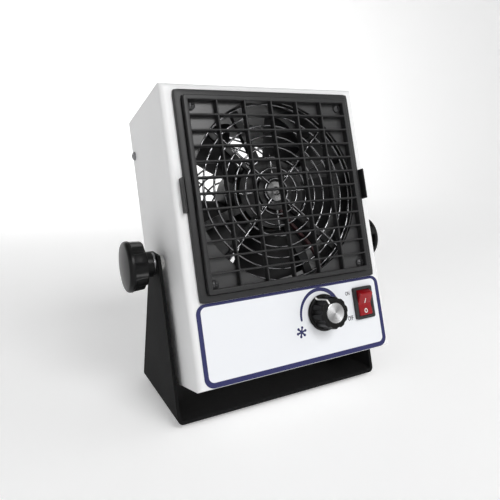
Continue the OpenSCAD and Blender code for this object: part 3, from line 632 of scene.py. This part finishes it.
def blade(turn, stations=28, n=26):
    """Fan blade: at each radius a bowed section as long as its chord, pitched to the rotor's
    plane and wrapped round that radius. Chord, pitch, sweep and thickness change steadily
    from hub to tip, and the last stations draw the section in to round the tip."""
    f = np.linspace(0.0, 1.0, stations)
    ease = np.concatenate([np.ones(stations - 3), [0.92, 0.72, 0.25]])
    f[-3:] = [0.985, 0.996, 1.0]
    r = HUB_R - 0.8 + f * (TIP_R - HUB_R + 0.8)
    chord, thick = 33 + 27 * f, (2.0 - 0.6 * f) * ease
    pitch, sweep = np.radians(44 - 20 * f), np.radians(-6 * f * f)
    bow, tuck = 2.6, 4.8
    t = 0.5 - 0.5 * np.cos(np.linspace(0.0, np.pi, n))
    t = np.concatenate([t, t[-2:0:-1]])
    face = np.concatenate([np.ones(n), -np.ones(n - 2)])
    x = (t - 0.5)[None] * (chord - tuck * (1 - ease))[:, None]
    y = 4 * bow * (t * (1 - t))[None] + face * thick[:, None] / 2 * (
        np.sqrt(np.maximum(4 * t * (1 - t), 0.0)))[None]
    across = x * np.cos(pitch)[:, None] - y * np.sin(pitch)[:, None]
    along = x * np.sin(pitch)[:, None] + y * np.cos(pitch)[:, None]
    a = sweep[:, None] + across / r[:, None] + turn
    return np.stack([r[:, None] * np.cos(a), r[:, None] * np.sin(a),
                     along + CUP_L / 2 + 0.6], -1)


def rotor():
    """Hub and blades, placed two millimetres in front of the fan's back."""
    lift = np.array([0.0, 0.0, FAN_END + 2.0])
    shells = [closed_grid(on_outlet(rotor_hub() + lift), wrap=True)]
    for k in range(BLADES):
        shells.append(closed_grid(on_outlet(blade(ROTOR_TURN + k * 2 * np.pi / BLADES) + lift)))
    return joined(*shells)


def spline(points, steps):
    """Catmull-Rom curve through the points, with steps stretches between neighbours."""
    p = np.asarray(points, float)
    p = np.concatenate([2 * p[:1] - p[1:2], p, 2 * p[-1:] - p[-2:-1]])
    a, b, c, d = p[:-3, None], p[1:-2, None], p[2:-1, None], p[3:, None]
    t = (np.arange(steps) / steps)[None, :, None]
    q = 0.5 * (2 * b + (c - a) * t + (2 * a - 5 * b + 4 * c - d) * t ** 2
               + (3 * b - a - 3 * c + d) * t ** 3)
    return np.concatenate([q.reshape(-1, 3), p[-2:-1]])


def tube(path, r, sides=18):
    """Round tube along a path: at each point a circle of radius r across the heading."""
    heading = np.gradient(path, axis=0)
    heading /= np.linalg.norm(heading, axis=1, keepdims=True)
    s = np.cross(heading, [0.2, 0.1, 1.0])
    s /= np.linalg.norm(s, axis=1, keepdims=True)
    u = np.cross(s, heading)
    ring = circle(sides)
    return path[:, None] + r * (ring[None, :, :1] * s[:, None] + ring[None, :, 1:] * u[:, None])


RING_R, RING_PITCH, RINGS = 56.1, 6.87, 8
RING_BACK = 1.25                       # how far the rings lie behind the spokes
WIRE_R = 0.7
SCREW_PITCH = 105
LOOP_R = 3.2                           # loops round the guard's screws
FRONT_GUARD_W, REAR_GUARD_W = -2.05, -76.85


def torus(radius, r, centre, n=128, sides=14):
    """Wire ring: a circle of radius r carried round a circle about the centre."""
    a = circle(sides)
    section = np.stack([radius + r * a[:, 0], r * a[:, 1]], -1)
    return closed_grid(on_outlet(turned(section, n) + centre), wrap=True)


def wire_guard(w):
    """Wire guard: level rings welded to four diagonal spokes that end in loops round the
    screws. The spokes lie at depth w and the rings lie back from them."""
    shells = [torus(RING_R - i * RING_PITCH, WIRE_R, [0, 0, w - RING_BACK])
              for i in range(RINGS)]
    screw_at = SCREW_PITCH / math.sqrt(2)
    s = np.linspace(RING_R - (RINGS - 1) * RING_PITCH - 0.9, screw_at - LOOP_R, 24)
    for turn in np.radians([45, 135, 225, 315]):
        d = np.array([math.cos(turn), math.sin(turn), 0.0])
        shells.append(closed_grid(on_outlet(tube(s[:, None] * d + [0, 0, w], WIRE_R, 14))))
        shells.append(torus(LOOP_R, WIRE_R, d * screw_at + [0, 0, w], 40))
    return joined(*shells)


LEAD_R = 1.3
LEAD_ROUTE = [(-34, 31, -30), (-34, 36, -30), (-31, 42, -27), (-22, 46, -20), (-8, 47, -12),
              (6, 47, -7.5), (18, 47.3, -6), (24, 47.6, -6), (27, 50.1, -6), (27, 56.6, -6),
              (25, 65.6, -6), (20.5, 74.6, -6), (16, 80.6, -6), (10.5, 87.6, -6), (5.5, 93.6, -6),
              (2.8, 96.6, -6), (2.6, 98.8, -6)]

piece("rotor_moulding", rotor(), black_plastic, "fan_spinner", ["fan_rotor"])
piece("high_voltage_lead", closed_grid(on_case(tube(spline(LEAD_ROUTE, 8), LEAD_R))), lead_red,
      "case", ["hv_lead"])
piece("front_wire_guard", wire_guard(FRONT_GUARD_W), chrome_wire, "case",
      ["front_guard"])
piece("rear_wire_guard", wire_guard(REAR_GUARD_W), chrome_wire, "case",
      ["rear_guard"])

# ---------------------------------------------------------------------------
# Speed knob and switch
# ---------------------------------------------------------------------------

FLUTES = 10
KNOB_R = 10.2
KNOB_TOP = 13.0
LOBE_TURN = math.radians(8)
POINTER_TURN = math.radians(118)
POINTER_HALF = 0.5
CAP_R = 6.35
FLUTE_R = 2 * KNOB_R / FLUTES * 0.95


def scallop(angle, count, body_r, centre, r):
    """Radius of a round body cut by count round flutes: along each direction the near side of
    the flute's circle, rho = c cos a - sqrt(r^2 - c^2 sin^2 a), where that is nearer than
    the body's own radius. A soft minimum rounds the edge between the two."""
    pitch = 2 * np.pi / count
    a = (angle + pitch / 2) % pitch - pitch / 2
    root = r ** 2 - (centre * np.sin(a)) ** 2
    near = np.where(root > 0, centre * np.cos(a) - np.sqrt(np.maximum(root, 0.0)), centre)
    k = 0.35
    h = np.clip(0.5 + 0.5 * (body_r - near) / k, 0.0, 1.0)
    return body_r + (near - body_r) * h - k * h * (1 - h)


def scalloped(profile, shares, n, turn, count, centre, r):
    """Turned body with flutes: each profile point (radius, z) goes round the axis, and follows
    the flutes by its share, radius + share * (min(cut, radius) - radius)."""
    a = np.arange(n) * 2 * np.pi / n
    rows = []
    for (radius, z), share in zip(profile, shares):
        cut = scallop(a - turn, count, radius, centre, r)
        rho = radius + share * (np.minimum(cut, radius) - radius)
        rows.append(np.stack([rho * np.cos(a), rho * np.sin(a), np.full(n, z)], -1))
    return np.stack(rows)


def knob_body():
    """Speed knob: a profile of radius and height turned about the shaft, closed inside by its
    blind bore. Between the skirt and the top the radius follows the flutes."""
    foot = 0.7
    low = [(0.02, 10.6), (3.0, 10.6), (3.0, 7.3), (7.0, 7.3), (7.0, foot), (11.4, foot),
           (11.7, 0.95), (11.7, 1.5), (11.55, 1.75), (11.0, 2.2), (10.75, 2.3)]
    draft = 0.3 / (KNOB_TOP - foot)
    rise = np.array([2.32, 2.7, 3.2, 4.5, 6.5, 9.0, 11.0, 12.2])
    side = [(KNOB_R - draft * (z - foot), z) for z in rise]
    top_r, z = side[-1][0], KNOB_TOP
    top = [(top_r - 0.06, z - 0.45), (top_r - 0.22, z - 0.15), (top_r - 0.55, z), (6.65, z),
           (6.4, z - 0.15), (6.4, z - 0.5), (0.02, z - 0.5)]
    fluted = [0.0] * len(low) + [0.35, 0.8, 1, 1, 1, 1, 1, 1] + [0.95, 0.85, 0.7] + [0.0] * 4
    rows = scalloped(low + side + top, fluted, 360, LOBE_TURN - np.pi / FLUTES, FLUTES,
                     KNOB_R + FLUTE_R * 0.35, FLUTE_R)
    return closed_grid(at_knob(rows))


def knob_cap():
    """Spun metal disc let into the knob's top: a shallow dish with a rounded rim."""
    z = KNOB_TOP
    profile = np.concatenate([[[0.02, z - 0.5], [CAP_R, z - 0.5]],
                              arc(CAP_R - 0.4, z + 0.3, 0.35, 0, 90, 5),
                              [[CAP_R - 0.75, z + 0.6], [4.0, z + 0.52], [2.0, z + 0.47],
                               [0.02, z + 0.46]]])
    return closed_grid(at_knob(turned(profile, 128)))


def pointer():
    """White line on the knob at eleven o'clock: it lies on the skirt's top, climbs the side
    and ends at the top's edge, a hair proud of each."""
    path = np.array([(11.65, 1.6), (11.55, 1.8), (11.0, 2.26), (10.5, 2.4), (10.28, 2.8),
                     (10.04, 12.3), (9.86, 12.85), (9.3, 13.06), (6.75, 13.06)])
    inward = np.array([(-0.25, -0.05), (-0.2, -0.2), (-0.05, -0.25), (-0.15, -0.25),
                       (-0.3, -0.1), (-0.3, -0.05), (-0.2, -0.2), (-0.05, -0.25),
                       (-0.02, -0.25)])
    radial = np.array([np.cos(POINTER_TURN), np.sin(POINTER_TURN)])
    across = np.array([-radial[1], radial[0]])
    corners = []
    for s, shift in ((-1, 0), (1, 0), (1, 1), (-1, 1)):
        q = path + inward * shift
        xy = q[:, :1] * radial + s * POINTER_HALF * across
        corners.append(np.concatenate([xy, q[:, 1:]], -1))
    return closed_grid(at_knob(np.stack(corners, 1)))


ROCKER_TILT = math.radians(12)
ROCKER_AXIS_W = -0.5
ROCKER_W = 10.4
ROCKER_REACH = 9.0                     # half the length of its face
MARK_SUNK, MARK_PROUD = 0.2, 0.04      # how the two marks sit in the rocker's face


def on_rocker(p):
    """Rocker millimetres to metres: turned by half its throw about its pivot, which lies
    behind the panel."""
    p = np.asarray(p, float)
    c, s = math.cos(ROCKER_TILT), math.sin(ROCKER_TILT)
    q = np.stack([p[..., 0] + SWITCH[0], c * p[..., 1] - s * p[..., 2] + SWITCH[1],
                  s * p[..., 1] + c * p[..., 2] + ROCKER_AXIS_W], -1)
    return on_case(q)


def rocker_top(y):
    """Height of the rocker's face: a V that rises to both ends, rounded at the middle."""
    rise, soft = ROCKER_REACH * math.tan(ROCKER_TILT + math.radians(5)), 0.04
    return 3.0 + rise * (np.sqrt((y / ROCKER_REACH) ** 2 + soft ** 2) - soft)


def rocker_body():
    """Rocker: a section of height against length, carried across its width. The section has a
    dished face, rounded corners and ends that are arcs about the pivot. Its outer stations are
    drawn in so that the long edges are rounded."""
    y = np.linspace(-6.6, 6.6, 33)
    right = np.concatenate([arc(6.84, 4.14, 0.8, 105, 31, 8), arc(0, 0, 8.79, 27, -25, 8)])
    left = right[::-1] * [-1, 1]
    section = np.concatenate([np.stack([y, rocker_top(y)], -1), right, left])
    half = ROCKER_W / 2
    loops = []
    for x, d in [(-half, 0.55), (-half + 0.08, 0.3), (-half + 0.28, 0.1), (-half + 0.6, 0.0),
                 (half - 0.6, 0.0), (half - 0.28, 0.1), (half - 0.08, 0.3), (half, 0.55)]:
        s = section * [1 - d / ROCKER_REACH, 1.0]
        s = s - [0.0, 1.0] * (d * (s[:, 1:] > 0))
        loops.append(np.stack([np.full(len(s), x), s[:, 0], s[:, 1]], -1))
    return closed_grid(on_rocker(np.stack(loops)))


def rocker_bar():
    """Upright stroke on the rocker's upper half: a flat bar that follows its sloping face."""
    half, stations = 0.28, 12
    y = np.linspace(0.2, 3.6, stations)[:, None]
    corners = np.array([[-half, -MARK_SUNK], [half, -MARK_SUNK], [half, MARK_PROUD],
                        [-half, MARK_PROUD]])
    x, lift = np.broadcast_to(corners.T[:, None], (2, stations, 4))
    return closed_grid(on_rocker(np.stack([x, y + 0 * x, rocker_top(y) + lift], -1)))


def rocker_ring():
    """Ring on the rocker's lower half: a flat ring whose height follows the sloping face."""
    ring = circle(64)
    centre = np.array([0.0, -4.6])
    rows = []
    for r, lift in [(0.75, -MARK_SUNK), (0.75, MARK_PROUD), (1.3, MARK_PROUD),
                    (1.3, -MARK_SUNK)]:
        xy = centre + ring * r * [1.0, 1.1]
        rows.append(np.concatenate([xy, (rocker_top(xy[:, 1]) + lift)[:, None]], -1))
    return closed_grid(on_rocker(np.stack(rows)), wrap=True)


piece("speed_knob_moulding", knob_body(), knob_plastic, "speed_dial",
      ["speed_knob"])
piece("speed_knob_disc", knob_cap(), cap_metal, "speed_dial",
      ["speed_knob_cap"])
piece("speed_knob_pointer", pointer(), white_ink, "speed_dial")
piece("rocker_moulding", rocker_body(), red_plastic, "power_rocker",
      ["switch_rocker"])
piece("rocker_on_mark", rocker_bar(), white_ink, "power_rocker")
piece("rocker_off_mark", rocker_ring(), white_ink, "power_rocker")

# ---------------------------------------------------------------------------
# Printing on the label
# ---------------------------------------------------------------------------

FILM_TOP = 0.3
PRINT_T = 0.03
PRINT_LOW, PRINT_TOP = FILM_TOP - 0.02, FILM_TOP + PRINT_T
LABEL_W, LABEL_H = 131.7, 47.4


def printed(outer, inner):
    """Thin print between two loops with the same number of points, standing on the film."""
    loops = [lifted(outer, PRINT_LOW), lifted(outer, PRINT_TOP),
             lifted(inner, PRINT_TOP), lifted(inner, PRINT_LOW)]
    return closed_grid(on_case(np.stack(loops)), wrap=True)


def printed_stroke(left, right, top=PRINT_TOP):
    """Thin print between two edges that run side by side: at each point along them a
    rectangle from one edge to the other, as high as the print."""
    loops = [lifted(left, top), lifted(right, top), lifted(right, PRINT_LOW),
             lifted(left, PRINT_LOW)]
    return closed_grid(on_case(np.stack(loops, 1)))


def border():
    """Rounded border line along the film's edge, narrowest along the top."""
    outer = rect_loop(LABEL_W, LABEL_H, 5.9, 14) + LABEL
    inner = rect_loop(LABEL_W - 5.6, LABEL_H - 4.9, 3.4, 14) + LABEL + [0.0, 0.6]
    return printed(outer, inner)


def speed_scale():
    """Crescent round the knob: an arc that winds inward and widens steadily, from a rounded
    start at the left to a broad end beside the knob at the upper right."""
    a = np.radians(np.linspace(190, 28, 120))
    f = np.linspace(0.0, 1.0, 120)
    tip = np.sqrt(1.0 - (1.0 - np.minimum(f / 0.016, 1.0)) ** 2)
    width = (1.4 + 1.6 * f) * np.maximum(tip, 0.05)
    ray = np.stack([np.cos(a), np.sin(a)], -1)
    mean = 16.95 - 1.6 * f - 2.95 * f ** 2
    outer = ray * (mean + width / 2)[:, None] + KNOB
    inner = ray * (mean - width / 2)[:, None] + KNOB
    return printed_stroke(outer, inner)


def air_mark():
    """Six-armed star for moving air: three strokes through one centre. A stroke is thin along
    its length and swells to a round bulb at each end."""
    centre = np.array([1.5, 21.1])
    reach, bulb, thin = 2.85, 0.85, 0.55
    s = (reach + bulb) * np.sin(np.linspace(-np.pi / 2, np.pi / 2, 61))
    ball = np.sqrt(np.maximum(bulb ** 2 - (np.abs(s) - reach) ** 2, 0.0))
    half = np.where(np.abs(s) < reach, np.maximum(ball, thin), ball)
    half = np.maximum(half, 0.02)
    shells = []
    for k in range(3):
        a = math.radians(14 + 60 * k)
        along, across = np.array([math.cos(a), math.sin(a)]), np.array([-math.sin(a), math.cos(a)])
        middle, reach_out = s[:, None] * along + centre, half[:, None] * across
        shells.append(printed_stroke(middle + reach_out, middle - reach_out,
                                     PRINT_TOP + 0.004 * k))
    return joined(*shells)


def word(text, u, v, size, narrow):
    """Small printed word as a mesh: the text's outline, thickened, filled and raised, then
    narrowed and placed."""
    curve = bpy.data.curves.new("word_" + text.lower(), "FONT")
    curve.body = text
    curve.size = size
    curve.align_x, curve.align_y = "CENTER", "CENTER"
    curve.extrude = PRINT_T / 2
    curve.offset = 0.09
    tmp = bpy.data.objects.new("word_tmp", curve)
    bpy.context.scene.collection.objects.link(tmp)
    mesh = bpy.data.meshes.new_from_object(tmp)
    bpy.data.objects.remove(tmp)
    n = len(mesh.vertices)
    co = np.zeros(n * 3)
    mesh.vertices.foreach_get("co", co)
    co = co.reshape(-1, 3)
    faces = [list(p.vertices) for p in mesh.polygons]
    bpy.data.meshes.remove(mesh)
    return on_case(co * [narrow, 1.0, 1.0] + [u, v, FILM_TOP + PRINT_T / 2]), faces


piece("label_border", border(), ink, "case")
piece("speed_scale", speed_scale(), ink, "case")
piece("air_mark", air_mark(), ink, "case")
piece("on_word", word("ON", 40.2, 39.2, 3.4, 0.66), black_ink, "case")
piece("off_word", word("OFF", 40.0, 23.0, 4.0, 0.62), black_ink, "case")

# ---------------------------------------------------------------------------
# Hand knobs and feet
# ---------------------------------------------------------------------------

GRIP_R = 15.8
BOSS_Z, GRIP_Z = 7.25, 12.45
GRIP_L = 11.8
LOBE_L = 8.2
LOBES = 6


def hand_knob(side):
    """Hand knob: a profile turned about the tilt axis, from the blind bore over the boss, up
    the grip and over its domed cap. Along the grip the radius follows six round scallops."""
    dome_r, rim = 95.0, 2.2
    centre = GRIP_Z + GRIP_L + 1.0 - dome_r
    rim_z = centre + math.sqrt((dome_r - rim) ** 2 - (GRIP_R - rim) ** 2)
    meet = math.degrees(math.asin((GRIP_R - rim) / (dome_r - rim)))
    g = GRIP_Z
    low = [(0.02, g + 4), (3.0, g + 4), (3.0, BOSS_Z), (7.6, BOSS_Z), (8.0, BOSS_Z + 0.4),
           (8.0, g - 0.5), (8.5, g)]
    grip = [(GRIP_R - 2.6, g), (GRIP_R - 1.8, g + 0.15), (GRIP_R - 1.2, g + 0.6),
            (GRIP_R - 0.9, g + 1.2), (GRIP_R - 0.6, g + 4.5), (GRIP_R - 0.32, g + LOBE_L - 0.3),
            (GRIP_R - 0.25, g + LOBE_L)]
    rim_arc = arc(GRIP_R - rim, rim_z, rim, 0, 90 - meet, 9)
    fall = np.linspace(1.0, 0.0, 14)[1:]
    r_meet = rim_arc[-1, 0]
    dome = np.stack([np.maximum(r_meet * fall, 0.02),
                     centre + np.sqrt(dome_r ** 2 - (r_meet * fall) ** 2)], -1)
    cap = np.concatenate([[[GRIP_R - 0.2, g + LOBE_L + 0.02], [GRIP_R, g + LOBE_L + 0.3]],
                          rim_arc, dome])
    profile = np.concatenate([low, grip, cap])
    shares = [0.0] * len(low) + [1.0] * len(grip) + [0.0] * len(cap)
    r_cut = GRIP_R * 0.42
    rows = scalloped(profile, shares, 288, 0.0, LOBES, GRIP_R + r_cut * 0.46, r_cut)
    return closed_grid(on_clamp(rows, side))


def rubber_feet():
    """Four turned feet: slightly tapered, with a rounded lower rim and a shallow dimple."""
    profile = np.concatenate([[[0.02, 0.35], [2.0, 0.3], [2.6, 0.0]],
                              arc(3.9, 0.6, 0.6, -90, -5, 6), [[4.95, 2.9], [4.95, 3.0],
                                                                [0.02, 3.0]]])
    lo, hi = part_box("stand_feet")
    r = 5 * MM
    shells = []
    for x in (lo.x + r, hi.x - r):
        for y in (lo.y + r, hi.y - r):
            shells.append(closed_grid(turned(profile, 64) * MM + [x, y, 0.0]))
    return joined(*shells)


piece("left_knob_moulding", hand_knob(-1), knob_plastic, "left_clamp",
      ["left_hand_knob"])
piece("right_knob_moulding", hand_knob(1), knob_plastic, "right_clamp",
      ["right_hand_knob"])
piece("rubber_feet", rubber_feet(), rubber, "stand", ["stand_feet"])

# ---------------------------------------------------------------------------
# Studio
# ---------------------------------------------------------------------------

def studio_floor():
    """Pale floor that curves up all round into a backdrop: a flat disc, then a quarter of an
    ellipse, turned about the upright axis."""
    flat_r, rise_r, height = 1.3, 1.3, 1.6
    flat = [(0.001, 0.0), (0.4, 0.0), (0.9, 0.0), (flat_r, 0.0)]
    a = np.linspace(0.0, np.pi / 2, 24)[1:]
    rise = np.stack([flat_r + rise_r * np.sin(a), height * (1 - np.cos(a))], -1)
    p = turned(np.concatenate([flat, rise]), 96)
    m, k = p.shape[:2]
    i, j = np.meshgrid(np.arange(m - 1), np.arange(k), indexing="ij")
    j2 = (j + 1) % k
    quads = np.stack([i * k + j, (i + 1) * k + j, (i + 1) * k + j2, i * k + j2], -1)
    faces = quads.reshape(-1, 4).tolist() + [list(range(k))]
    mesh = bpy.data.meshes.new("studio_floor")
    mesh.from_pydata(p.reshape(-1, 3).tolist(), [], faces)
    mesh.shade_smooth()
    mesh.materials.append(finish("pale_floor", (0.93, 0.93, 0.93), 0.8, grain=60, relief=0.05,
                                 depth=0.2, tone=0.01, spread=0.02, specular=0.1, glow=0.30))
    floor = bpy.data.objects.new("studio_floor", mesh)
    bpy.context.scene.collection.objects.link(floor)


def area_light(name, place, target, size, power):
    """Square soft light at place that faces target."""
    light = bpy.data.lights.new(name, "AREA")
    light.shape = "SQUARE"
    light.size = size
    light.energy = power
    obj = bpy.data.objects.new(name, light)
    obj.location = place
    obj.rotation_mode = "QUATERNION"
    obj.rotation_quaternion = (Vector(target) - Vector(place)).to_track_quat("-Z", "Y")
    bpy.context.scene.collection.objects.link(obj)


def camera():
    """Camera at the object's left front, looking slightly down. Its axes are made square to
    each other from the viewing direction and the upward one."""
    eye = AXIS + np.array([-0.15786, -0.29391, 0.16609 - AXIS[2]])
    ahead = np.array([0.44887, 0.87558, -0.17855])
    ahead /= np.linalg.norm(ahead)
    up = np.array([0.09931, 0.14970, 0.98373])
    up -= ahead * up.dot(ahead)
    up /= np.linalg.norm(up)
    right = np.cross(ahead, up)
    data = bpy.data.cameras.new("camera")
    data.sensor_width = 36.0
    data.lens = 35.46
    data.shift_x, data.shift_y = 0.00015, -0.02604
    data.clip_start, data.clip_end = 0.01, 20.0
    cam = bpy.data.objects.new("camera", data)
    turn = np.stack([right, up, -ahead], 1)
    cam.matrix_world = Matrix.Translation(eye) @ Matrix(turn.tolist()).to_4x4()
    bpy.context.scene.collection.objects.link(cam)
    bpy.context.scene.camera = cam


def sky():
    """Even white surround."""
    world = bpy.data.worlds.new("surround")
    world.use_nodes = True
    back = world.node_tree.nodes["Background"]
    back.inputs["Color"].default_value = (1.0, 1.0, 1.0, 1.0)
    back.inputs["Strength"].default_value = 0.05
    bpy.context.scene.world = world


camera()
studio_floor()
sky()
area_light("key", (0.25, -1.35, 1.22), (0, 0, 0.1), 0.7, 15.5)
area_light("fill", (1.3, -0.6, 0.9), (0, 0, 0.1), 0.8, 2)
area_light("top", (0.0, 0.3, 1.7), (0, 0, 0.0), 1.2, 1)
area_light("back", (0.3, 1.2, 1.2), (0.2, 2.2, 0.4), 0.9, 12)
bpy.context.scene.view_settings.view_transform = "Standard"
